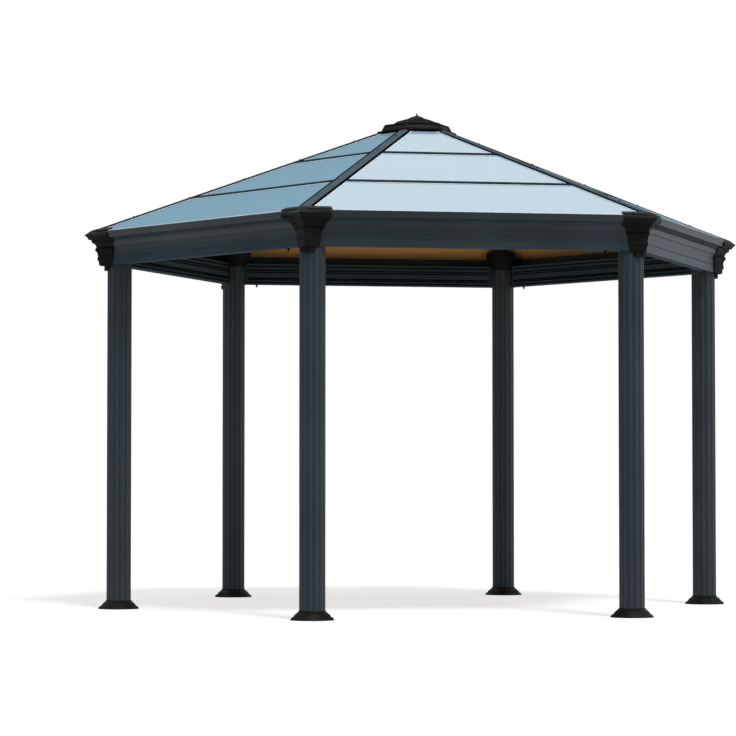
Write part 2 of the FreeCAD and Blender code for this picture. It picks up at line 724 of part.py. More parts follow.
def make_corner_cap(label, turn):
    """A moulded cap over the mitre of two beams: a stepped nose, two tapering wings and a tongue."""
    body = new_body(label, turn)
    nose_foot = to_corner(add(FACE_OUT, size("corner_proud")))
    out = lambda distance: add(nose_foot, distance)
    at = lambda height: add(SOFFIT, height)
    total = less(EAVE_TOP, SOFFIT)
    part = lambda share: times(total, share)
    tip = out("95")
    tip_low = at(part("0.92"))
    inner = add(size("post_spacing"), "40")
    neck = at(part("0.57"))
    lip_foot = at(part("0.775"))
    sole = less(SOFFIT, size("corner_sole"))
    brow = add(hip_at(out("53")), size("corner_top"))
    zones = {
        "base": (size("base_taper"), [
            (inner, sole),
            (out("-24"), sole),
            (out("-7"), less(SOFFIT, part_of(size("corner_sole"), "1.2"))),
            (out("0"), SOFFIT),
            (out("2"), at(part("0.1"))),
            (out("11"), at(part("0.15"))),
            (out("11"), at(part("0.21"))),
            (out("8"), at(part("0.25"))),
            (out("9"), at(part("0.32"))),
            (out("14"), at(part("0.39"))),
            (out("25"), at(part("0.44"))),
            (out("25"), at(part("0.5"))),
            (out("18"), at(part("0.53"))),
            (out("18"), neck),
            (inner, neck),
        ]),
        "bands": (size("band_taper"), [
            (inner, neck),
            (out("18"), neck),
            (out("28"), at(part("0.64"))),
            (out("46"), at(part("0.685"))),
            (out("51"), at(part("0.765"))),
            (out("53"), lip_foot),
            (inner, lip_foot),
        ]),
        "lip": (size("lip_taper"), [
            (inner, lip_foot),
            (out("68"), lip_foot),
            (out("73"), at(part("0.83"))),
            (tip, tip_low),
            (out("53"), brow),
            (inner, less(EAVE_TOP, "20")),
        ]),
    }
    for zone, (taper, profile) in zones.items():
        nose = new_sketch(body, f"{label}_{zone}_profile", "XZ_Plane")
        outline(nose, profile)
        extrude(body, "Pad", f"{label}_{zone}", nose, size("corner_wing"), along=sweep(taper))
    hood = new_sketch(body, label + "_hood_profile", "XZ_Plane")
    outline(hood, [
        (corner_top_in(), add(hip_at(corner_top_in()), size("corner_top"))),
        (out("53"), brow),
        (out("60"), tip_low),
        (to_corner(EAVE_OUT), less(EAVE_TOP, size("lip_height"))),
        (corner_top_in(), less(EAVE_TOP, "20")),
    ])
    extrude(body, "Pad", label + "_hood", hood, size("corner_wing"), along=sweep("0"))
    room = new_sketch(body, label + "_room_profile", "XZ_Plane")
    fascia = fascia_outline(times("2", GAP), less(SOFFIT, GAP), add(EAVE_TOP, GAP))
    points = [(to_corner(x), y) for x, y in fascia]
    far_in = less(size("post_spacing"), "100")
    outline(room, points + [
        (far_in, add(hip_at(far_in), GAP)),
        (far_in, less(SOFFIT, GAP)),
    ])
    extrude(body, "Pocket", label + "_room", room, add(size("corner_wing"), "60"), along=sweep("0"))
    verge = new_sketch(body, label + "_verge", "XY_Plane", lift={"z": EAVE_TOP})
    verge_in = less(EAVE_OUT, size("corner_verge"))
    wing_start = less(times(EAVE_OUT, TAN_CORNER), size("corner_wing"))
    wing_x = add(times(verge_in, COS_CORNER), times(wing_start, SIN_CORNER))
    wing_y = less(times(verge_in, SIN_CORNER), times(wing_start, COS_CORNER))
    outline(verge, [
        (corner_top_in(), "0"),
        (wing_x, wing_y),
        (less(wing_x, "30"), add(wing_y, "60")),
        (far_in, add(wing_y, "60")),
        (far_in, "0"),
    ])
    extrude(body, "Pocket", label + "_verge_cut", verge, "100", reverse=True)
    side = new_sketch(body, label + "_side", "YZ_Plane", turn=((0, 1, 0), str(HALF_STEP)))
    corner_line = times("-1", FACE_OUT, TAN_CORNER)
    wing_end = add(times("-1", EAVE_OUT, TAN_CORNER), size("corner_wing"))
    waist = add(corner_line, size("corner_waist"))
    shoulder = at(part("0.75"))
    outline(side, [
        (wing_end, add(EAVE_TOP, "200")),
        (wing_end, shoulder),
        (less(waist, times(less(waist, wing_end), "0.52")), at(part("0.6"))),
        (less(waist, times(less(waist, wing_end), "0.2")), at(part("0.38"))),
        (waist, SOFFIT),
        (waist, less(SOFFIT, "60")),
        (add(wing_end, "400"), less(SOFFIT, "60")),
        (add(wing_end, "400"), add(EAVE_TOP, "200")),
    ])
    extrude(body, "Pocket", label + "_side_cut", side, add(EAVE_OUT, "300"), reverse=True)
    mirrored(body, label + "_both", "XZ_Plane")
    shield = new_sketch(body, label + "_tongue_shape", "YZ_Plane", lift={"z": size("post_spacing")})
    half = part_of(size("tongue_width"), "2")
    low = less(SOFFIT, size("tongue_drop"))
    rounding = size("tongue_rounding")
    corner = times(rounding, "0.29")
    outline(shield, [
        (half, sole),
        (half, add(low, rounding)),
        (less(half, corner), add(low, corner)),
        (less(half, rounding), low),
        (less(rounding, half), low),
        (less(corner, half), add(low, corner)),
        (times("-1", half), add(low, rounding)),
        (times("-1", half), sole),
    ])
    extrude(body, "Pad", label + "_tongue", shield, size("corner_wing"))
    ring = new_sketch(body, label + "_tongue_ring", "XY_Plane", lift={"z": sole})
    circle(ring, size("post_spacing"), "0", add(POST_RADIUS, size("tongue_thickness")))
    circle(ring, size("post_spacing"), "0", times("2", size("corner_wing")))
    extrude(body, "Pocket", label + "_tongue_turned", ring, size("tongue_drop"))
    bore = new_sketch(body, label + "_post_bore", "XY_Plane")
    circle(bore, size("post_spacing"), "0", add(POST_RADIUS, GAP))
    extrude(body, "Pocket", label + "_bored", bore, EAVE_TOP, reverse=True)
    return body


def hexagon(sketch, radius, turn="0"):
    """A hexagon about the origin with its corners on the hip lines."""
    corners = []
    for corner in range(SIDES):
        angle = f"({corner} * {CORNER_STEP} + {turn})"
        corners.append((times(radius, f"cos{angle}"), times(radius, f"sin{angle}")))
    outline(sketch, corners)


def crown_base():
    """Height of the crown's lower edge, which lies on the roof sheets."""
    return add(hip_at(less(part_of(size("crown_width"), "2"), size("crown_wall"))), GAP)


def crown_tier(label, corners):
    """A six sided tier from its section, given by corner distances and heights with the widest first."""
    body = new_body(label, HALF_STEP)
    section = new_sketch(body, label + "_section", "XZ_Plane")
    outline(section, [(times(x, COS_CORNER), y) for x, y in corners])
    widest = corners[0][0]
    extrude(body, "Pad", label + "_side", section, times("2", widest), both=True)
    mitre = new_sketch(body, label + "_mitre", "XY_Plane")
    far = times("2", widest)
    for sign in ("1", "-1"):
        outline(mitre, [
            ("0", "0"),
            (far, times(sign, far, TAN_CORNER)),
            ("0", times(sign, far)),
        ])
    extrude(body, "Pocket", label + "_mitred", mitre, times("2", EAVE_TOP), reverse=True)
    around(body, label + "_all", str(SIDES))
    return body


def make_crown():
    """Three hexagonal tiers with beaded rims, one on the other, and the spike on the last."""
    wall = size("crown_wall")
    bead = size("crown_bead")
    groove = size("crown_groove")
    base = crown_base()
    foot = part_of(size("crown_width"), "2")
    neck = part_of(size("lower_neck"), "2")
    shoulder = part_of(size("lower_shoulder"), "2")
    middle_foot = part_of(size("middle_width"), "2")
    middle_shoulder = part_of(size("middle_shoulder"), "2")
    middle_ring = part_of(size("middle_ring"), "2")
    top_foot = part_of(size("upper_width"), "2")
    flange_top = add(base, size("flange_height"))
    lower_top = add(base, size("lower_height"))
    lower_close = add(lower_top, size("lower_rise"))
    middle_top = add(lower_close, part_of(size("middle_height"), "2"))
    middle_close = add(lower_close, size("middle_height"))
    ring_level = part_of(add(middle_top, middle_close), "2")
    upper_close = add(middle_close, size("upper_height"))
    lower = [
        (foot, base),
        (foot, flange_top),
        (neck, add(flange_top, bead)),
        (less(shoulder, groove), less(lower_top, bead, groove)),
        (shoulder, less(lower_top, bead)),
        (shoulder, lower_top),
        (less(shoulder, bead), add(lower_top, groove)),
        (middle_foot, lower_close),
        ("0", lower_close),
        ("0", less(lower_close, wall, wall)),
        (less(middle_foot, wall), less(lower_close, wall, wall)),
        (less(shoulder, wall, groove), less(lower_top, wall, bead)),
        (less(neck, wall), less(add(flange_top, bead), wall)),
        (less(foot, wall), less(flange_top, wall)),
        (less(foot, wall), base),
    ]
    middle = [
        (middle_foot, lower_close),
        (middle_foot, add(lower_close, bead)),
        (less(middle_foot, bead), add(lower_close, bead, groove)),
        (middle_shoulder, middle_top),
        (middle_ring, less(ring_level, groove)),
        (middle_ring, add(ring_level, groove)),
        (top_foot, middle_close),
        ("0", middle_close),
        ("0", less(middle_close, wall, wall, bead)),
        (less(top_foot, wall), less(middle_close, wall, wall, bead)),
        (less(middle_shoulder, wall), less(middle_top, wall)),
        (less(middle_foot, wall, bead), less(add(lower_close, bead), wall)),
        (less(middle_foot, wall, bead), lower_close),
    ]
    slim = part_of(size("spike_width"), "2")
    upper = [
        (top_foot, middle_close),
        (top_foot, add(middle_close, groove)),
        (part_of(top_foot, "2.4"), less(upper_close, bead)),
        (size("spike_width"), upper_close),
        (slim, upper_close),
        (slim, add(upper_close, part_of(size("spike_height"), "2"))),
        ("0", add(upper_close, size("spike_height"))),
        ("0", middle_close),
    ]
    return [
        crown_tier("crown_lower_tier", lower),
        crown_tier("crown_middle_tier", middle),
        crown_tier("crown_upper_tier", upper),
    ]


def make_roof_hub(label):
    """The casting at the top, with a flat for each rafter, up to the crown's lower tier."""
    body = new_body(label)
    base = less(hip_at(part_of(size("hub_width"), "2")), size("rafter_depth"), size("hub_sole"))
    plan = new_sketch(body, label + "_plan", "XY_Plane", lift={"z": base})
    hexagon(plan, to_corner(part_of(size("hub_width"), "2")), turn=str(HALF_STEP))
    extrude(body, "Pad", label + "_block", plan, less(add(crown_base(), size("lower_height")), base))
    well = new_sketch(body, label + "_well", "XY_Plane", lift={"z": add(base, size("hub_wall"))})
    hexagon(well, to_corner(less(part_of(size("hub_width"), "2"), size("hub_wall"))), turn=str(HALF_STEP))
    extrude(body, "Pocket", label + "_hollowed", well, EAVE_TOP, reverse=True)
    return body


def make_drain_spouts(label):
    """Short spouts under the beams near the posts."""
    body = new_body(label, HALF_STEP)
    rim = new_sketch(body, label + "_rim", "XY_Plane", lift={"z": less(SOFFIT, size("spout_length"))})
    across = part_of(add(FACE_IN, FACE_OUT), "2")
    along = less(times(size("post_spacing"), SIN_CORNER), POST_RADIUS, size("spout_inset"))
    circle(rim, across, along, part_of(size("spout_width"), "2"))
    circle(rim, across, along, part_of(size("spout_width"), "3"))
    extrude(body, "Pad", label + "_spout", rim, size("spout_length"))
    around(body, label + "_all", str(SIDES))
    return body


parts = []
for corner in range(SIDES):
    turn = CORNER_STEP * corner
    parts.append(make_post(f"post_{corner + 1}", turn))
    parts.append(make_foot_cover(f"foot_cover_{corner + 1}", turn))
    parts.append(make_corner_cap(f"corner_cap_{corner + 1}", turn))
    parts.append(make_hip_rafter(f"hip_rafter_{corner + 1}", turn))
    parts.append(make_eave_beam(f"eave_beam_{corner + 1}", turn + HALF_STEP))
    parts.append(make_roof_panels(f"roof_panels_{corner + 1}", turn + HALF_STEP))
parts.append(make_base_plates("base_plates"))
parts.append(make_head_brackets("head_brackets"))
parts.append(make_hip_caps("hip_caps"))
parts.append(make_purlins("purlins"))
parts.append(make_roof_hub("roof_hub"))
parts.extend(make_crown())
parts.append(make_drain_spouts("drain_spouts"))

doc.recompute()
for item in doc.Objects:
    if "Invalid" in item.State or "Error" in item.State:
        raise RuntimeError(f"{item.Label} did not build: {item.State} {item.getStatusString()}")
for body in parts:
    if body.Shape.isNull() or not body.Shape.isValid():
        raise RuntimeError(f"{body.Label} has no valid shape")

os.makedirs("parts", exist_ok=True)
for body in parts:
    body.Shape.exportStep(f"parts/{body.Label}.step")
    print(body.Label, len(body.Shape.Solids), "solids", round(body.Shape.Volume / 1000), "cm3")
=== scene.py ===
# %% [markdown]
# # A hexagonal aluminium pavilion, dressed for its portrait
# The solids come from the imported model, and they stay exactly where they are. This lesson gives them
# their finishes, adds the small things that a fitter would add on site, and sets up a plain studio.
# Everything is in metres: the pavilion stands on the floor at the origin, and its front bay faces -Y.

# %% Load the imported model
import math
import bmesh
import bpy
from mathutils import Matrix, Vector


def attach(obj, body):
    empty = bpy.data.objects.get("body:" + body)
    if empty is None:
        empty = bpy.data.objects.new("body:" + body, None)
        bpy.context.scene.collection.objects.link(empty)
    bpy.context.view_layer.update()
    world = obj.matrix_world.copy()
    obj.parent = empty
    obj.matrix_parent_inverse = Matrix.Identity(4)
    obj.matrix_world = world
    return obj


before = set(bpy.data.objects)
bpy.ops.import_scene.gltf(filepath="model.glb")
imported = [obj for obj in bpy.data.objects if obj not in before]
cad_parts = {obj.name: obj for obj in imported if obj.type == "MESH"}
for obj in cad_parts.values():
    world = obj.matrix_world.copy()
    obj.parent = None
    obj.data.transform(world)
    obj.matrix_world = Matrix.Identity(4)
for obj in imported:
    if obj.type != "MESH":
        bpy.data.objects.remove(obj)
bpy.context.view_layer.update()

print("nodes loaded:", len(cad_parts))

# %% [markdown]
# ## Where the photographer stood
# A long lens from far off keeps the posts nearly upright and parallel. The eye is low, under the eaves,
# so the underside of the roof shows. An empty aimed by a constraint would do too, but a direction turned
# into a rotation is exact and leaves nothing behind.

# %% The camera
EYE = Vector((-3.789, -18.572, 0.8466))
GAZE = Vector((0.18318, 0.98236, 0.03736))
SENSOR_WIDTH = 36.0
LENS_LENGTH = 141.72
FARTHEST = 200.0
bpy.ops.object.camera_add(location=EYE, rotation=GAZE.to_track_quat("-Z", "Y").to_euler())
camera = bpy.context.object
camera.name = "portrait_camera"
camera.data.sensor_width = SENSOR_WIDTH
camera.data.lens = LENS_LENGTH
camera.data.clip_end = FARTHEST
bpy.context.scene.camera = camera
print("camera stands", round(EYE.length, 2), "m from the middle")

# %% [markdown]
# ## Colours, nodes and links
# Colours are easiest to judge as they show on a screen, from 0 to 255, while shaders want them linear.
# One helper turns the first into the second. The others keep each finish short enough to read: they
# start a material, add a node with its settings, join two sockets, or do one of the few things that
# every finish here needs, such as soft blotches, a blend of two colours and a little relief.

# %% Helpers for nodes
def tint(red, green, blue):
    """A screen colour from 0 to 255 as the linear colour that a shader wants."""
    shares = [channel / 255 for channel in (red, green, blue)]
    linear = [s / 12.92 if s <= 0.04045 else ((s + 0.055) / 1.055) ** 2.4 for s in shares]
    return (*linear, 1.0)


def grey(level):
    """A neutral colour of a linear level."""
    return (level, level, level, 1.0)


def new_finish(name, **settings):
    """A material whose Principled shader has these settings, given as socket names with _ for spaces."""
    material = bpy.data.materials.new(name)
    material.use_nodes = True
    shader = material.node_tree.nodes["Principled BSDF"]
    for socket, setting in settings.items():
        shader.inputs[socket.replace("_", " ")].default_value = setting
    return material, shader


def add_node(owner, kind, **settings):
    """A node in a material or the world. Settings are sockets by name with _ for spaces, or properties."""
    node = owner.node_tree.nodes.new("ShaderNode" + kind)
    for name, setting in settings.items():
        socket = name.replace("_", " ")
        if socket in node.inputs:
            node.inputs[socket].default_value = setting
        else:
            setattr(node, name, setting)
    return node


def join(owner, source, sink):
    """A link from an output socket to an input socket."""
    owner.node_tree.links.new(source, sink)


def feed(owner, source, sink):
    """Sets an input socket to a constant, or links it when the source is a socket."""
    if isinstance(source, (float, tuple)):
        sink.default_value = source
    else:
        join(owner, source, sink)


def plain_math(owner, operation, first, second=0.0):
    """A sum, product or comparison of a socket with a number or another socket."""
    step = add_node(owner, "Math", operation=operation)
    join(owner, first, step.inputs[0])
    feed(owner, second, step.inputs[1])
    return step.outputs["Value"]


def vector_math(owner, operation, first, second=(0.0, 0.0, 0.0)):
    """A vector sum, product or cross product of a socket with a constant or another socket."""
    step = add_node(owner, "VectorMath", operation=operation)
    join(owner, first, step.inputs[0])
    feed(owner, second, step.inputs[1])
    return step


def two_tone(owner, share, first, second):
    """What goes from the first colour to the second, each a constant or a socket, as a share rises."""
    blend = add_node(owner, "Mix", data_type="RGBA")
    feed(owner, first, blend.inputs["A"])
    feed(owner, second, blend.inputs["B"])
    join(owner, share, blend.inputs["Factor"])
    return blend.outputs["Result"]


print("slate tint is", [round(channel, 4) for channel in tint(46, 54, 58)])

# %% Helpers for finishes
def object_point(material):
    """The point being shaded, in the pavilion's own metres."""
    return add_node(material, "TexCoord").outputs["Object"]


def mottle(material, scale, detail=3.0, low=0.35, high=0.65):
    """Soft blotches from 0 to 1, scale to the metre."""
    noise = add_node(material, "TexNoise", Scale=scale, Detail=detail)
    join(material, object_point(material), noise.inputs["Vector"])
    stretch = add_node(material, "MapRange", From_Min=low, From_Max=high)
    join(material, noise.outputs["Fac"], stretch.inputs["Value"])
    return stretch.outputs["Result"]


def rough_between(material, shader, share, low, high):
    """Roughness that goes from low to high with a socket."""
    spread_out = add_node(material, "MapRange", To_Min=low, To_Max=high)
    join(material, share, spread_out.inputs["Value"])
    join(material, spread_out.outputs["Result"], shader.inputs["Roughness"])


def bump(material, shader, height, depth):
    """Relief of a real depth in metres from a height socket."""
    relief = add_node(material, "Bump", Distance=depth)
    join(material, height, relief.inputs["Height"])
    join(material, relief.outputs["Normal"], shader.inputs["Normal"])


def mottled_finish(name, specular, tones, blotches, roughness, grain):
    """A finish of two tones in soft blotches, whose roughness wanders between two values."""
    finish, shader = new_finish(name, Specular_IOR_Level=specular)
    join(finish, two_tone(finish, mottle(finish, blotches), *tones), shader.inputs["Base Color"])
    rough_between(finish, shader, mottle(finish, grain), *roughness)
    return finish, shader


PEEL_SCALE = 700.0
PEEL_DEPTH = 0.00008


def orange_peel(finish, shader):
    """The fine pebbled skin of a baked powder coat."""
    bump(finish, shader, mottle(finish, PEEL_SCALE, detail=1.0), PEEL_DEPTH)


print("orange peel is", round(1000 / PEEL_SCALE, 1), "mm across")

# %% [markdown]
# ## Powder coat on the extrusions
# The posts, beams and rafters are aluminium with a baked powder coat, a dark slate. Close up it has the
# skin of an orange, about a millimetre across, and the film is a little thicker in some places than in
# others, which shifts its tone and its gloss. Nodes driven by noise of three sizes give all of that, and
# they read object coordinates, so the pattern stays on the metal from every side.

# %% Powder coat
SLATE_TONES = (tint(34, 44, 49), tint(42, 53, 58))
FILM_BLOTCHES = 2.4
slate_coat, coat_shader = mottled_finish("slate_powder_coat", specular=0.35, tones=SLATE_TONES,
                                         blotches=FILM_BLOTCHES, roughness=(0.33, 0.38), grain=9.0)
orange_peel(slate_coat, coat_shader)
print("finish made:", slate_coat.name)

# %% [markdown]
# ## The posts' own coat
# The posts have the same coat, with a thin dark line painted down beside every edge where one flute meets the
# next, as painted shade in the corners of the flutes. Painting a line on each flute would work for one post.
# Here one material serves all six: it finds the nearest post by rounding its bearing to a sixth of a turn,
# and then the bearing around that post gives the place in the pattern, which repeats twelve times around.

# %% Place on a post
POST_REACH = 1.950
FLUTES = 12
SIXTH = math.radians(60)
post_coat, post_shader = new_finish("fluted_post_coat", Specular_IOR_Level=0.35)
post_point = add_node(post_coat, "SeparateXYZ")
join(post_coat, object_point(post_coat), post_point.inputs["Vector"])
bearing = plain_math(post_coat, "ARCTAN2", post_point.outputs["Y"], post_point.outputs["X"])
sixths = plain_math(post_coat, "ROUND", plain_math(post_coat, "DIVIDE", bearing, SIXTH))
nearest = plain_math(post_coat, "MULTIPLY", sixths, SIXTH)
off_axis = []
for axis, operation in (("X", "COSINE"), ("Y", "SINE")):
    centre = plain_math(post_coat, "MULTIPLY", plain_math(post_coat, operation, nearest), POST_REACH)
    off_axis.append(plain_math(post_coat, "SUBTRACT", post_point.outputs[axis], centre))
around_post = plain_math(post_coat, "ARCTAN2", off_axis[1], off_axis[0])
flute = plain_math(post_coat, "MULTIPLY", around_post, FLUTES / (2 * math.pi))
from_edge = plain_math(post_coat, "PINGPONG", flute, 0.5)
print("a flute is", round(360 / FLUTES), "degrees wide")

# %% Post coat
LINE_STARTS, LINE_DARKEST, LINE_ENDS = 0.04, 0.15, 0.30
POST_TONES = (tint(42, 53, 58), tint(49, 61, 66))
# Painted shade: a thin dark line beside each flute edge, which is also made rougher.
PAINTED_SHADE_TONE = tint(10, 14, 17)
painted_shade_lines = add_node(post_coat, "ValToRGB")
for stop, place in zip(painted_shade_lines.color_ramp.elements, (LINE_STARTS, LINE_ENDS)):
    stop.position = place
    stop.color = grey(0.0)
painted_shade_lines.color_ramp.elements.new(LINE_DARKEST).color = grey(1.0)
join(post_coat, from_edge, painted_shade_lines.inputs["Fac"])
open_tone = two_tone(post_coat, mottle(post_coat, FILM_BLOTCHES), *POST_TONES)
join(post_coat, two_tone(post_coat, painted_shade_lines.outputs["Color"], open_tone, PAINTED_SHADE_TONE),
     post_shader.inputs["Base Color"])
rough_between(post_coat, post_shader, painted_shade_lines.outputs["Color"], 0.33, 0.60)
orange_peel(post_coat, post_shader)
print("finish made:", post_coat.name)

# %% [markdown]
# ## The beams' two sides
# Outside, a beam has the same coat as the rest. Its inner faces and its soffit are more matt, so they don't
# glare when seen along the metal, and they are painted a lighter, bluer tone of the same coat, which is
# painted light. Two materials on one solid would need its faces picked out by hand. One material can tell the
# sides apart by itself: a face belongs to the inner side when its normal points back towards the pavilion's
# foot, and the product of its normal and its place is then negative.

# %% Beam coat
# The inner tones are the slate coat painted lighter and bluer: painted light on the inner faces and soffit.
INNER_PAINTED_LIGHT_TONES = (tint(40, 56, 63), tint(47, 64, 71))
beam_coat, beam_shader = new_finish("eave_beam_coat", Specular_IOR_Level=0.30)
beam_face = add_node(beam_coat, "NewGeometry").outputs["True Normal"]
outward = vector_math(beam_coat, "DOT_PRODUCT", beam_face, object_point(beam_coat)).outputs["Value"]
inner_side = plain_math(beam_coat, "LESS_THAN", outward)
beam_film = mottle(beam_coat, FILM_BLOTCHES)
outer_tone = two_tone(beam_coat, beam_film, *SLATE_TONES)
inner_painted_light_tone = two_tone(beam_coat, beam_film, *INNER_PAINTED_LIGHT_TONES)
join(beam_coat, two_tone(beam_coat, inner_side, outer_tone, inner_painted_light_tone), beam_shader.inputs["Base Color"])
rough_between(beam_coat, beam_shader, inner_side, 0.36, 0.95)
orange_peel(beam_coat, beam_shader)
print("finish made:", beam_coat.name)

# %% [markdown]
# ## Duller coat on the roof's trim
# The hip caps and the purlins lie out in the weather, so their coat is a matt one that doesn't glare. Both
# are the slate coat: the hip caps are painted paler and bluer, as painted sky sheen, and the purlins darker,
# as painted shade, so they read as thin black lines on the pale roof.

# %% Roof trim
# Painted sky sheen on the hip caps and painted shade on the purlins, both on the slate coat.
CAP_PAINTED_SHEEN_TONES = (tint(60, 79, 88), tint(68, 87, 96))
PURLIN_PAINTED_SHADE_TONES = (tint(14, 32, 42), tint(20, 42, 52))
cap_coat, cap_shader = mottled_finish("matt_cap_coat_painted_sheen", specular=0.08, tones=CAP_PAINTED_SHEEN_TONES,
                                      blotches=3.0, roughness=(0.55, 0.65), grain=20.0)
purlin_coat, purlin_shader = mottled_finish("purlin_coat_painted_shade", specular=0.03, tones=PURLIN_PAINTED_SHADE_TONES,
                                            blotches=3.0, roughness=(0.60, 0.70), grain=20.0)
orange_peel(cap_coat, cap_shader)
orange_peel(purlin_coat, purlin_shader)
print("finishes made:", cap_coat.name, purlin_coat.name)

# %% [markdown]
# ## Moulded plastic on the caps, feet and crown
# The corner caps, the foot covers, the head brackets and the crown are moulded in a brown black plastic.
# Its skin has a fine even grain that scatters light, so it is duller than the coat. A noise of finer
# scale gives the grain, and slow blotches keep the big faces from looking flat.

# %% Moulding plastic
MOULD_GRAIN = 1400.0
MOULD_DEPTH = 0.00006
black_moulding, moulding_shader = mottled_finish("moulded_plastic", specular=0.10,
                                                 tones=(tint(15, 15, 14), tint(23, 22, 20)),
                                                 blotches=5.0, roughness=(0.48, 0.60), grain=14.0)
bump(black_moulding, moulding_shader, mottle(black_moulding, MOULD_GRAIN, detail=1.0), MOULD_DEPTH)
print("finish made:", black_moulding.name)

# %% [markdown]
# ## Twin wall sheets
# The roof sheets are two thin skins of a bronze tint with a web between them every centimetre. Outside they
# are painted a pale silver blue with a gloss, which is painted sky reflection, and inside a bright warm
# bronze, brightened as a painted glow of the light that comes through. The webs run down the slope, so the
# pattern has to turn with each roof face. The direction across a face is its normal crossed with straight up,
# and the place along that direction, divided by the web spacing, gives stripes that fit all six faces with
# one material.

# %% Webs in the sheets
WEB_SPACING = 0.0105
WEB_SHARE = 0.12
WEB_RELIEF = 0.00010
roof_sheet, sheet_shader = new_finish("bronze_sheet_painted_sky_and_glow", Roughness=0.14, Specular_IOR_Level=1.0,
                                      Coat_Weight=0.3, Coat_Roughness=0.08)
facing = add_node(roof_sheet, "NewGeometry").outputs["True Normal"]
level_line = vector_math(roof_sheet, "CROSS_PRODUCT", facing, (0.0, 0.0, 1.0)).outputs["Vector"]
across = vector_math(roof_sheet, "NORMALIZE", level_line).outputs["Vector"]
place = vector_math(roof_sheet, "DOT_PRODUCT", object_point(roof_sheet), across).outputs["Value"]
phase = plain_math(roof_sheet, "FRACT", plain_math(roof_sheet, "MULTIPLY", place, 1 / WEB_SPACING))
web = plain_math(roof_sheet, "COMPARE", phase, 0.5)
web.node.inputs[2].default_value = WEB_SHARE
bump(roof_sheet, sheet_shader, web, WEB_RELIEF)
print("webs every", WEB_SPACING * 1000, "mm")

# %% Sky side and bronze side
split = add_node(roof_sheet, "SeparateXYZ")
join(roof_sheet, facing, split.inputs["Vector"])
upward = plain_math(roof_sheet, "GREATER_THAN", split.outputs["Z"])
# The top side's silver blue is painted sky reflection, and the underside's bright bronze is painted glow of
# light through the sheet.
sky_side_painted_reflection = two_tone(roof_sheet, web, tint(153, 188, 206), tint(145, 181, 200))
bronze_side_painted_glow = two_tone(roof_sheet, web, tint(216, 160, 94), tint(200, 146, 82))
join(roof_sheet, two_tone(roof_sheet, upward, bronze_side_painted_glow, sky_side_painted_reflection), sheet_shader.inputs["Base Color"])
print("finish made:", roof_sheet.name)

# %% [markdown]
# ## Zinc, screws, rubber and edging tape
# Under the feet are galvanised plates, whose zinc has frosted patches the size of a fingernail. A cell
# texture is right for that, because zinc crystals are cells. The screws are blackened, the seals are a
# dull rubber, and the cut edges of the sheets are closed with a pale tape.

# %% Frosted zinc
CRYSTAL_SCALE = 90.0
zinc, zinc_shader = new_finish("galvanised_zinc", Metallic=1.0)
crystal = add_node(zinc, "TexVoronoi", Scale=CRYSTAL_SCALE)
join(zinc, object_point(zinc), crystal.inputs["Vector"])
crystal_grey = add_node(zinc, "RGBToBW")
join(zinc, crystal.outputs["Color"], crystal_grey.inputs["Color"])
join(zinc, two_tone(zinc, crystal_grey.outputs["Val"], tint(150, 154, 158), tint(196, 199, 201)),
     zinc_shader.inputs["Base Color"])
rough_between(zinc, zinc_shader, crystal_grey.outputs["Val"], 0.34, 0.52)
print("finish made:", zinc.name)

# %% The small finishes
blackened = mottled_finish("blackened_screw", specular=0.15, tones=(tint(16, 17, 18), tint(30, 31, 32)),
                           blotches=260.0, roughness=(0.40, 0.55), grain=500.0)[0]
rubber = mottled_finish("black_rubber", specular=0.0, tones=(tint(4, 4, 5), tint(9, 10, 11)),
                        blotches=30.0, roughness=(0.80, 0.92), grain=60.0)[0]
tape = mottled_finish("edging_tape", specular=0.4, tones=(tint(226, 236, 240), tint(238, 245, 248)),
                      blotches=24.0, roughness=(0.30, 0.42), grain=120.0)[0]
print("finishes made:", [finish.name for finish in (blackened, rubber, tape)])

# %% [markdown]
# ## Dressing the solids
# Each solid keeps its mesh and gets its finish by name. The first part of a name is enough to choose by.
# Each entry also lists a slot name for the surface, which the script reads but doesn't set on the part.

# %% Finish for every solid
COAT_SLOT = "powder_coated_slate"
MOULDING_SLOT = "black_brown_moulding"
SHEET_SLOT = "twin_wall_sheet"
ZINC_SLOT = "galvanised_steel"
DRESS = {
    "post": (post_coat, COAT_SLOT),
    "eave_beam": (beam_coat, COAT_SLOT),
    "purlins": (purlin_coat, COAT_SLOT),
    "hip_rafter": (slate_coat, COAT_SLOT),
    "hip_caps": (cap_coat, COAT_SLOT),
    "roof_hub": (slate_coat, COAT_SLOT),
    "roof_panels": (roof_sheet, SHEET_SLOT),
    "corner_cap": (black_moulding, MOULDING_SLOT),
    "foot_cover": (black_moulding, MOULDING_SLOT),
    "head_brackets": (black_moulding, MOULDING_SLOT),
    "crown": (black_moulding, MOULDING_SLOT),
    "drain_spouts": (black_moulding, MOULDING_SLOT),
    "base_plates": (zinc, ZINC_SLOT),
}
for node_name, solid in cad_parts.items():
    finish, slot = next(dress for start, dress in DRESS.items() if node_name.startswith(start))
    solid.data.materials.clear()
    solid.data.materials.append(finish)
print("dressed", len(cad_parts), "solids")

# %% [markdown]
# ## Sizes that the small parts follow
# The seals and tapes lie on the roof sheets, so they need the roof's plane. The eave beams give where it
# starts, and the pitch gives how it climbs. Along a hip, where two faces meet, the climb is gentler.

# %% The roof's plane
SIDES = 6
STEP = math.radians(360 / SIDES)
HALF_STEP = STEP / 2
EAVE_REACH = 1.85805
EAVE_LEVEL = 2.409
PITCH = math.radians(22.56)
ROW_LINES = (0.716, 1.301)
CAP_HALF = 0.034
STRAIGHT_UP = Vector((0.0, 0.0, 1.0))
ROOF_UP = Vector((0.0, -math.sin(PITCH), math.cos(PITCH)))


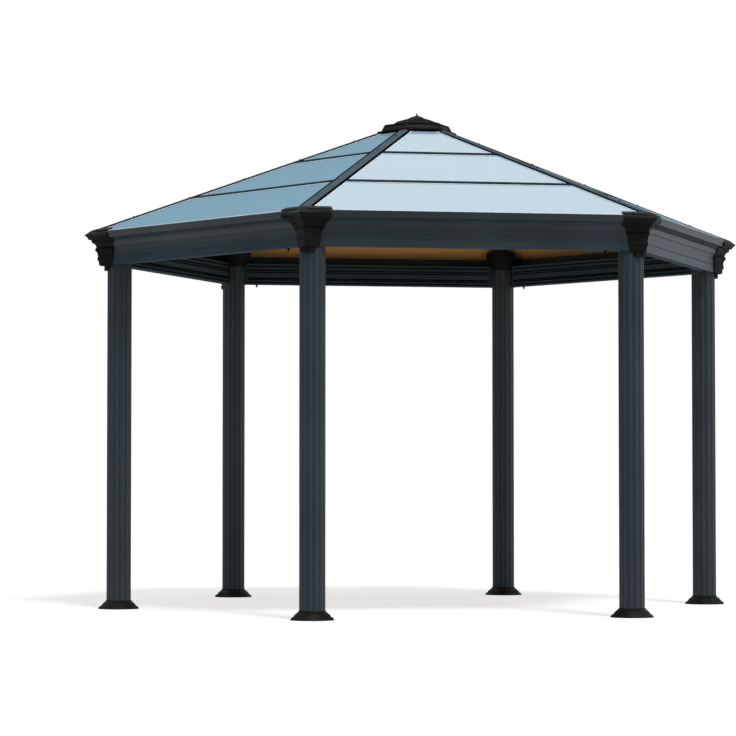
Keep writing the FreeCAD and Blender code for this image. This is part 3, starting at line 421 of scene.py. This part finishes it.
def roof_point(out, back, above=0.0):
    """A point over the roof face towards -Y: out from the middle, back from its +X hip, above it."""
    along = out * math.tan(HALF_STEP) - back / math.cos(HALF_STEP)
    level = EAVE_LEVEL + (EAVE_REACH - out) * math.tan(PITCH)
    return Vector((along, -out, level)) + ROOF_UP * above


print("the roof's plane climbs", round(EAVE_REACH * math.tan(PITCH), 3), "m to its middle")

# %% [markdown]
# ## Bars and copies
# Most of the small parts are strips. A strip is a cube stretched between two points, with its edges
# broken by a bevel in edit mode. What repeats on the six sides is made once and copied, each copy with
# its own mesh, and the copies are joined into one piece so that the list of pieces stays readable.

# %% Helpers for strips
def deselect():
    """Nothing selected, so that the next operator acts on the new part alone."""
    bpy.ops.object.select_all(action="DESELECT")


def bar(start, end, width, height, up, bevel):
    """A strip from start to end, its flat side turned to the direction up, edges bevelled."""
    deselect()
    bpy.ops.mesh.primitive_cube_add(size=1.0)
    strip = bpy.context.object
    run = (end - start).normalized()
    side = up.cross(run).normalized()
    top = run.cross(side).normalized()
    turn = Matrix((run, side, top)).transposed().to_4x4()
    stretch = Matrix.Diagonal(((end - start).length, width, height, 1.0))
    strip.matrix_world = Matrix.Translation((start + end) / 2) @ turn @ stretch
    bpy.ops.object.transform_apply(location=True, rotation=True, scale=True)
    bpy.ops.object.mode_set(mode="EDIT")
    bpy.ops.mesh.select_all(action="SELECT")
    bpy.ops.mesh.bevel(offset=bevel, segments=2, affect="EDGES")
    bpy.ops.object.mode_set(mode="OBJECT")
    return strip


def level_bar(end, width, height, up, bevel):
    """A strip that runs level across the front face, from the mirror image of its end to its end."""
    return bar(Vector((-end.x, end.y, end.z)), end, width, height, up, bevel)


print("a strip starts as a cube and follows", [round(part, 3) for part in ROOF_UP], "on the roof")

# %% Helpers for copies
SMOOTHED_UNDER = math.radians(35)


def copied(part, place):
    """A copy of a part with its own mesh, moved by a matrix."""
    twin = part.copy()
    twin.data = part.data.copy()
    twin.data.transform(place)
    bpy.context.collection.objects.link(twin)
    return twin


def about_middle(part):
    """The part and its copies on the other five sides."""
    return [part] + [copied(part, Matrix.Rotation(STEP * side, 4, "Z")) for side in range(1, SIDES)]


def mirror_side(part):
    """A copy on the other side of the plane x = 0, with its faces turned out again."""
    twin = copied(part, Matrix.Scale(-1.0, 4, Vector((1.0, 0.0, 0.0))))
    deselect()
    twin.select_set(True)
    bpy.context.view_layer.objects.active = twin
    bpy.ops.object.mode_set(mode="EDIT")
    bpy.ops.mesh.select_all(action="SELECT")
    bpy.ops.mesh.normals_make_consistent(inside=False)
    bpy.ops.object.mode_set(mode="OBJECT")
    return twin


def one_piece(name, parts, finish):
    """Joins parts into one named piece that rides on the pavilion."""
    deselect()
    for part in parts:
        part.select_set(True)
    bpy.context.view_layer.objects.active = parts[0]
    if len(parts) > 1:
        bpy.ops.object.join()
    piece = bpy.context.view_layer.objects.active
    piece.name = name
    piece.data.name = name
    piece.data.materials.clear()
    piece.data.materials.append(finish)
    bpy.ops.object.transform_apply(location=True, rotation=True, scale=True)
    bpy.ops.object.shade_smooth_by_angle(angle=SMOOTHED_UNDER)
    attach(piece, "root")
    print(f"{name}: {len(piece.data.polygons)} faces")


# %% [markdown]
# ## Seals along the hips
# A lip of black rubber is pushed under each edge of a hip cap, and it shows as the dark line between the
# cap and the sheet. It runs straight, so a bevelled bar is enough.

# %% Hip seals
SEAL_WIDTH = 0.013
SEAL_HEIGHT = 0.007
SEAL_TUCK = 0.003
SEAL_BEVEL = 0.0012
SEAL_TOP_OUT = 0.250
SEAL_FOOT_OUT = 1.795
seal_back = CAP_HALF + SEAL_WIDTH / 2 - SEAL_TUCK
seal = bar(roof_point(SEAL_TOP_OUT, seal_back, SEAL_HEIGHT / 2),
           roof_point(SEAL_FOOT_OUT, seal_back, SEAL_HEIGHT / 2),
           SEAL_WIDTH, SEAL_HEIGHT, ROOF_UP, SEAL_BEVEL)
one_piece("hip_seals", about_middle(seal) + about_middle(mirror_side(seal)), rubber)

# %% [markdown]
# ## Edging tape
# The open ends of twin wall sheets are closed with tape, or rain and dust would creep along their webs.
# From the ground it reads as a fine white line round each sheet. The sloping strips follow the seals,
# and the level ones follow the purlins and the eave. The uppermost sheet has none under the crown, and
# the lowest strip stops at the corner caps. One roof face is taped, and the other five are copies.

# %% Tape around the sheets
TAPE_WIDTH = 0.008
TAPE_HEIGHT = 0.0016
TAPE_BEVEL = 0.0004
PURLIN_HALF = 0.016
CROWN_REACH = 0.236
EAVE_INSET = 0.005
SEAL_EDGE = CAP_HALF + SEAL_WIDTH - SEAL_TUCK
CORNER_WING = 0.165
tape_half = TAPE_WIDTH / 2
upper_line, lower_line = ROW_LINES
sheet_rows = ((CROWN_REACH, upper_line - PURLIN_HALF),
              (upper_line + PURLIN_HALF, lower_line - PURLIN_HALF),
              (lower_line + PURLIN_HALF, EAVE_REACH - EAVE_INSET))
tapes = []
for row_top, row_foot in sheet_rows:
    top, foot = [roof_point(out, SEAL_EDGE + tape_half, TAPE_HEIGHT / 2) for out in (row_top, row_foot)]
    sloping = bar(top, foot, TAPE_WIDTH, TAPE_HEIGHT, ROOF_UP, TAPE_BEVEL)
    tapes += [sloping, mirror_side(sloping)]
level_tapes = [(row_foot - tape_half, SEAL_EDGE) for row_top, row_foot in sheet_rows[:-1]]
level_tapes += [(row_top + tape_half, SEAL_EDGE) for row_top, row_foot in sheet_rows[1:]]
level_tapes.append((sheet_rows[-1][1] - tape_half, CORNER_WING))
for out, back in level_tapes:
    end = roof_point(out, back, TAPE_HEIGHT / 2)
    tapes.append(level_bar(end, TAPE_WIDTH, TAPE_HEIGHT, ROOF_UP, TAPE_BEVEL))
one_piece("sheet_tapes", [twin for strip in tapes for twin in about_middle(strip)], tape)

# %% [markdown]
# ## Gasket and beads of the crown
# The crown lands on the sheets with a black gasket under its rim. Its tiers are crisp mouldings: round
# beads run along their rims, and a raised rib follows each of the six corners, which gives the ragged
# outline that the crown has against the sky. Bars again, because all of them are straight.

# %% Crown gasket
GASKET_OUT = 0.2345
GASKET_WIDTH = 0.014
GASKET_HEIGHT = 0.010
GASKET_LEVEL = 0.0048
GASKET_BEVEL = 0.002
gasket_end = roof_point(GASKET_OUT, CAP_HALF, GASKET_LEVEL)
gasket = level_bar(gasket_end, GASKET_WIDTH, GASKET_HEIGHT, ROOF_UP, GASKET_BEVEL)
one_piece("crown_gasket", about_middle(gasket), rubber)

# %% Crown beads
# Each bead has its corner distance, its level and its thickness, from the rim up.
BEADS = (
    (0.2310, 3.1085, 0.007),
    (0.2165, 3.1405, 0.006),
    (0.1500, 3.1550, 0.006),
    (0.1280, 3.1700, 0.005),
    (0.0970, 3.1787, 0.005),
    (0.0580, 3.1890, 0.004),
)
BEAD_BEVEL_SHARE = 0.3
crown_parts = []
for reach, level, thickness in BEADS:
    corner = Vector((reach * math.cos(STEP), -reach * math.sin(STEP), level))
    bead = level_bar(corner, thickness, thickness, STRAIGHT_UP, thickness * BEAD_BEVEL_SHARE)
    crown_parts += about_middle(bead)
print("beads on the crown:", len(crown_parts))

# %% Crown ribs
# Each rib has the corner distance and level of its lower and upper end, and its width.
RIBS = (
    ((0.2310, 3.1085), (0.2150, 3.1365), 0.012),
    ((0.2130, 3.1440), (0.1510, 3.1530), 0.012),
    ((0.1460, 3.1590), (0.1280, 3.1705), 0.010),
    ((0.1270, 3.1700), (0.0590, 3.1890), 0.009),
    ((0.0570, 3.1905), (0.0250, 3.2060), 0.007),
)
RIB_HEIGHT_SHARE = 0.6
RIB_BEVEL_SHARE = 0.2
for (low_reach, low_level), (high_reach, high_level), width in RIBS:
    rib = bar(Vector((low_reach, 0.0, low_level)), Vector((high_reach, 0.0, high_level)),
              width, width * RIB_HEIGHT_SHARE, STRAIGHT_UP, width * RIB_BEVEL_SHARE)
    crown_parts += about_middle(rib)
one_piece("crown_beads", crown_parts, black_moulding)

# %% [markdown]
# ## Screws
# A screw head starts as a short cylinder. Its rim is bevelled into a dome, and its top is inset and
# pushed in for the driver. To sit right on a slope it has to be turned to face the way the surface faces,
# and the surest way to find that is to shoot a line at the solid and ask where it lands.

# %% Helpers for heads and washers
UPPER_SIDE = 0.9
FLAT_TOP = 0.99


def pick_top(part, least):
    """In edit mode, selects only the faces whose normal points up by at least this share."""
    bpy.ops.mesh.select_mode(type="FACE")
    bpy.ops.mesh.select_all(action="DESELECT")
    cage = bmesh.from_edit_mesh(part.data)
    for face in cage.faces:
        face.select_set(face.normal.z > least)
    bmesh.update_edit_mesh(part.data)


def blank(sides, radius, height, rounding, segments):
    """A short cylinder on the plane z = 0 with its top rim rounded, left in edit mode."""
    deselect()
    bpy.ops.mesh.primitive_cylinder_add(vertices=sides, radius=radius, depth=height,
                                        location=(0.0, 0.0, height / 2))
    part = bpy.context.object
    bpy.ops.object.transform_apply(location=True, rotation=True, scale=True)
    bpy.ops.object.mode_set(mode="EDIT")
    pick_top(part, UPPER_SIDE)
    bpy.ops.mesh.bevel(offset=rounding, segments=segments, affect="EDGES")
    return part


def step_top(part, border, rise):
    """In edit mode, insets the flat top and moves what is inside the border up, or down if negative."""
    pick_top(part, FLAT_TOP)
    bpy.ops.mesh.inset(thickness=border)
    bpy.ops.mesh.extrude_region_move(TRANSFORM_OT_translate={"value": (0.0, 0.0, rise)})


def pan_head(radius, height):
    """A domed head with a round socket pushed into its top."""
    head = blank(16, radius, height, height * 0.45, 3)
    step_top(head, radius * 0.28, -height * 0.5)
    bpy.ops.object.mode_set(mode="OBJECT")
    return head


def washer(radius, height):
    """A thick disc that a head presses down."""
    disc = blank(20, radius, height, height * 0.4, 2)
    bpy.ops.object.mode_set(mode="OBJECT")
    return disc


def hex_bolt(across, height):
    """A hexagon head with its corners turned off."""
    head = blank(6, across / math.sqrt(3), height, height * 0.18, 2)
    bpy.ops.object.mode_set(mode="OBJECT")
    return head


print("heads and washers stand on the plane z = 0")

# %% Helpers for places
def facing_out(spot, facing):
    """A matrix that stands a part, modelled on the plane z = 0, on a spot with its top facing a direction."""
    return Matrix.Translation(spot) @ facing.to_track_quat("Z", "Y").to_matrix().to_4x4()


def landing(node_name, start, aim):
    """Where a line from start towards aim first meets a solid, and which way its surface faces there."""
    met, spot, facing, face_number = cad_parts[node_name].ray_cast(start, (aim - start).normalized())
    if not met:
        raise RuntimeError(f"nothing of {node_name} lies that way")
    return spot, facing


def placed(pattern, spots):
    """Copies of a pattern part on spots with directions, and the pattern itself deleted."""
    copies = [copied(pattern, facing_out(spot, facing)) for spot, facing in spots]
    bpy.data.objects.remove(pattern)
    return copies


def spread(spots):
    """Spots and directions repeated on all six sides."""
    turns = [Matrix.Rotation(STEP * side, 4, "Z") for side in range(SIDES)]
    return [(turn @ spot, turn.to_3x3() @ facing) for spot, facing in spots for turn in turns]


print("a line shot down the middle of a hip lands at",
      [round(part, 3) for part in landing("hip_caps", Vector((1.0, 0.0, 4.0)), Vector((1.0, 0.0, 0.0)))[0]])

# %% [markdown]
# ## Screws along the hip caps
# Five low screws hold each hip cap to its rafter, each on a thin rubber washer that keeps the rain out.
# They all lean the way the hip leans, so they stand square to the cap.

# %% Screws along the hip caps
CAP_SCREWS_OUT = (0.42, 0.78, 1.14, 1.50, 1.86)
OVERHEAD = 4.0
hip_up = Vector((math.tan(PITCH) * math.cos(HALF_STEP), 0.0, 1.0)).normalized()
cap_spots = []
for out in CAP_SCREWS_OUT:
    cap_spot = landing("hip_caps", Vector((out, 0.0, OVERHEAD)), Vector((out, 0.0, 0.0)))[0]
    cap_spots.append((cap_spot, hip_up))
cap_spots = spread(cap_spots)
one_piece("hip_cap_washers", placed(washer(radius=0.0070, height=0.0014), cap_spots), rubber)
one_piece("hip_cap_screws", placed(pan_head(radius=0.0050, height=0.0030), cap_spots), blackened)

# %% [markdown]
# ## Fixings at the feet
# A foot cover is two halves that clip around the post. The joint between them is a thin dark line up the
# side, and a small screw on each side of it holds the halves together. Under the cover, four bolts hold
# the base plate to the ground. They can't be seen, but a fitter who lifts the cover finds them.

# %% Joints in the foot covers
POST_SPOT = Vector((POST_REACH, 0.0, 0.0))
SHOT_REACH = 0.4
JOINT_LEVELS = (0.004, 0.015, 0.018, 0.033, 0.036, 0.048)
JOINT_WIDTH = 0.0014
JOINT_HEIGHT = 0.0012
JOINT_BEVEL = 0.0003
joints = []
for side in (1.0, -1.0):
    line = []
    for level in JOINT_LEVELS:
        aim = POST_SPOT + STRAIGHT_UP * level
        line.append(landing("foot_cover_1", aim + Vector((0.0, side * SHOT_REACH, 0.0)), aim)[0])
    for low, high in zip(line[:-1], line[1:]):
        joints.append(bar(low, high, JOINT_WIDTH, JOINT_HEIGHT, Vector((0.0, side, 0.6)), JOINT_BEVEL))
one_piece("foot_cover_joints", [twin for joint in joints for twin in about_middle(joint)], rubber)

# %% Screws in the foot covers
COVER_SCREW_LEVEL = 0.026
BESIDE_JOINT = 0.16
cover_spots = []
for side in (1.0, -1.0):
    for turn in (-BESIDE_JOINT, BESIDE_JOINT):
        aim = POST_SPOT + STRAIGHT_UP * COVER_SCREW_LEVEL
        start = aim + Vector((math.sin(turn), side * math.cos(turn), 0.0)) * SHOT_REACH
        cover_spots.append(landing("foot_cover_1", start, aim))
cover_screws = placed(pan_head(radius=0.0042, height=0.0030), spread(cover_spots))
one_piece("foot_cover_screws", cover_screws, blackened)

# %% Anchor bolts
ANCHOR_REACH = 0.095
PLATE_TOP = 0.008
BOLT_SEAT = 0.0018
anchor_spots = []
for quarter in range(4):
    turn = math.radians(45 + 90 * quarter)
    offset = Vector((ANCHOR_REACH * math.cos(turn), ANCHOR_REACH * math.sin(turn), PLATE_TOP))
    anchor_spots.append((POST_SPOT + offset, STRAIGHT_UP))
anchor_spots = spread(anchor_spots)
bolt_spots = [(spot + STRAIGHT_UP * BOLT_SEAT, facing) for spot, facing in anchor_spots]
one_piece("anchor_washers", placed(washer(radius=0.0095, height=0.0020), anchor_spots), zinc)
one_piece("anchor_bolts", placed(hex_bolt(across=0.016, height=0.0070), bolt_spots), zinc)

# %% [markdown]
# ## Strips along the beams' inner faces
# The inner face of a beam is ribbed, and a black strip lies along it beside each rib, standing in for the
# shade in the groove there: painted shade. From below they read as thin dark lines that run right round under
# the roof. Level bars on one side are copied around.

# %% Strips on the inner faces
INNER_REACH = 1.70005
STRIP_LEVELS = (2.218, 2.238, 2.250, 2.291, 2.306, 2.332)
BRACKET_CLEAR = 0.105
half_run = INNER_REACH * math.tan(HALF_STEP) - BRACKET_CLEAR
strips = []
# Each black strip is painted shade in a groove beside a rib.
for level in STRIP_LEVELS:
    strip = level_bar(Vector((half_run, -INNER_REACH, level)), 0.006, 0.007, STRAIGHT_UP, 0.0015)
    strips += about_middle(strip)
one_piece("beam_groove_shade_strips", strips, rubber)

# %% [markdown]
# ## Hoods behind the corner caps
# Each corner cap has a lip that stands in front of the roof sheets. A flat hood on each side of the hip
# closes the gap behind that lip, so no pale sheet shows between the lip and the hip cap.

# %% Hoods
HOOD_OUT = 1.832
HOOD_PAST_WING = 0.010
HOOD_WIDTH = 0.046
HOOD_HEIGHT = 0.008
HOOD_BEVEL = 0.002
# The wing's length and the cap's half width are taken along the eave here, as the hood runs along it.
hood_ends = []
for from_corner in (CORNER_WING + HOOD_PAST_WING, CAP_HALF):
    hood_ends.append(roof_point(HOOD_OUT, from_corner * math.cos(HALF_STEP), HOOD_HEIGHT / 2))
hood = bar(*hood_ends, HOOD_WIDTH, HOOD_HEIGHT, ROOF_UP, HOOD_BEVEL)
one_piece("cap_hoods", about_middle(hood) + about_middle(mirror_side(hood)), black_moulding)

# %% [markdown]
# ## Fixings under the eaves
# Inside, each head bracket is screwed to the beams that meet on it, and each drain spout passes through a
# small collar that hides the rough edge of its hole. The collar is a short cylinder with a stepped rim.

# %% Screws in the head brackets
BRACKET_SCREW_LEVEL = 2.345
BRACKET_SCREW_TURN = 0.55
bracket_spots = []
for turn in (-BRACKET_SCREW_TURN, 0.0, BRACKET_SCREW_TURN):
    aim = POST_SPOT + STRAIGHT_UP * BRACKET_SCREW_LEVEL
    start = aim + Vector((-math.cos(turn), math.sin(turn), 0.0)) * SHOT_REACH
    bracket_spots.append(landing("head_brackets", start, aim))
bracket_screws = placed(pan_head(radius=0.0050, height=0.0036), spread(bracket_spots))
one_piece("bracket_screws", bracket_screws, blackened)

# %% Collars of the drain spouts
SPOUT_SPOT = Vector((0.805, -1.73405, 2.204))
COLLAR_RADIUS = 0.012
COLLAR_HEIGHT = 0.003
COLLAR_ROUNDING = 0.0009
COLLAR_BORDER = 0.0035
COLLAR_STEP = 0.002
collar = blank(24, COLLAR_RADIUS, COLLAR_HEIGHT, COLLAR_ROUNDING, 2)
step_top(collar, COLLAR_BORDER, COLLAR_STEP)
bpy.ops.object.mode_set(mode="OBJECT")
collars = placed(collar, spread([(SPOUT_SPOT, -STRAIGHT_UP)]))
one_piece("spout_collars", collars, black_moulding)

# %% [markdown]
# ## A plain studio
# The floor is a pale plane, and the light is an even sky with one sun lamp, from the front and a little
# to the right. Its wide disc gives the long soft shadow that the photograph shows. The floor and the
# backdrop are brought up to white for the camera alone, through the light path, so that no extra light
# falls on the pavilion and its shadow still shows.

# %% Floor
FLOOR_WIDTH = 120.0
FLOOR_TONE = grey(0.74)
FLOOR_TONE_SEEN = grey(0.50)
FLOOR_GLOW_SEEN = 0.60
bpy.ops.mesh.primitive_plane_add(size=FLOOR_WIDTH, location=(0.0, 0.0, 0.0))
floor = bpy.context.object
floor.name = "studio_floor"
floor_paint, floor_shader = new_finish("studio_floor_paint", Roughness=0.9, Specular_IOR_Level=0.0)
seen = add_node(floor_paint, "LightPath").outputs["Is Camera Ray"]
join(floor_paint, two_tone(floor_paint, seen, FLOOR_TONE, FLOOR_TONE_SEEN), floor_shader.inputs["Base Color"])
floor_shader.inputs["Emission Color"].default_value = grey(1.0)
join(floor_paint, plain_math(floor_paint, "MULTIPLY", seen, FLOOR_GLOW_SEEN),
     floor_shader.inputs["Emission Strength"])
floor.data.materials.append(floor_paint)
print("floor", round(floor.dimensions.x), "m wide")

# %% [markdown]
# ## Backdrop and sky
# The camera sees a white backdrop. Matt surfaces are lit by an even sky. Glossy ones mirror a dim bluish
# room with a white box overhead and a fainter one to the right, because it is what they mirror that tells
# one roof face from the next.

# %% Sky
AMBIENT = grey(0.50)
BOX_GLOW = grey(1.2)
WALL_TINT = (0.13, 0.27, 0.38, 1.0)
BACKDROP = grey(1.0)
world = bpy.data.worlds.new("studio_world")
world.use_nodes = True
bpy.context.scene.world = world
heading = add_node(world, "SeparateXYZ")
join(world, add_node(world, "TexCoord").outputs["Generated"], heading.inputs["Vector"])
boxes = []
for axis, starts, ends, share in (("Z", 0.45, 0.62, 1.0), ("X", 0.30, 0.75, 0.5)):
    ramp = add_node(world, "MapRange", interpolation_type="SMOOTHSTEP",
                    From_Min=starts, From_Max=ends, To_Min=0.0, To_Max=share)
    join(world, heading.outputs[axis], ramp.inputs["Value"])
    boxes.append(ramp.outputs["Result"])
mirrored = two_tone(world, plain_math(world, "MAXIMUM", *boxes), WALL_TINT, BOX_GLOW)
ray = add_node(world, "LightPath")
lighting = two_tone(world, ray.outputs["Is Glossy Ray"], AMBIENT, mirrored)
clear = plain_math(world, "MAXIMUM", ray.outputs["Is Camera Ray"], ray.outputs["Is Transmission Ray"])
sky = world.node_tree.nodes["Background"]
join(world, two_tone(world, clear, lighting, BACKDROP), sky.inputs["Color"])
sky.inputs["Strength"].default_value = 1.0
print("even sky", AMBIENT[0], "and boxes", round(BOX_GLOW[0], 2))

# %% Key light
SUN_SIDE = math.radians(14)
SUN_HEIGHT = math.radians(56)
SUN_DISTANCE = 12.0
SUN_STRENGTH = 1.7
SUN_DISC = math.radians(11)
towards_sun = Vector((math.sin(SUN_SIDE) * math.cos(SUN_HEIGHT),
                      -math.cos(SUN_SIDE) * math.cos(SUN_HEIGHT),
                      math.sin(SUN_HEIGHT)))
bpy.ops.object.light_add(type="SUN", location=towards_sun * SUN_DISTANCE,
                         rotation=towards_sun.to_track_quat("Z", "Y").to_euler())
key = bpy.context.object
key.name = "key_light"
key.data.energy = SUN_STRENGTH
key.data.angle = SUN_DISC
print("key light", round(math.degrees(SUN_HEIGHT)), "degrees up")

# %% [markdown]
# ## Finish
# The view transform is set to Standard, so that colours show as written.

# %% View transform
bpy.context.scene.view_settings.view_transform = "Standard"
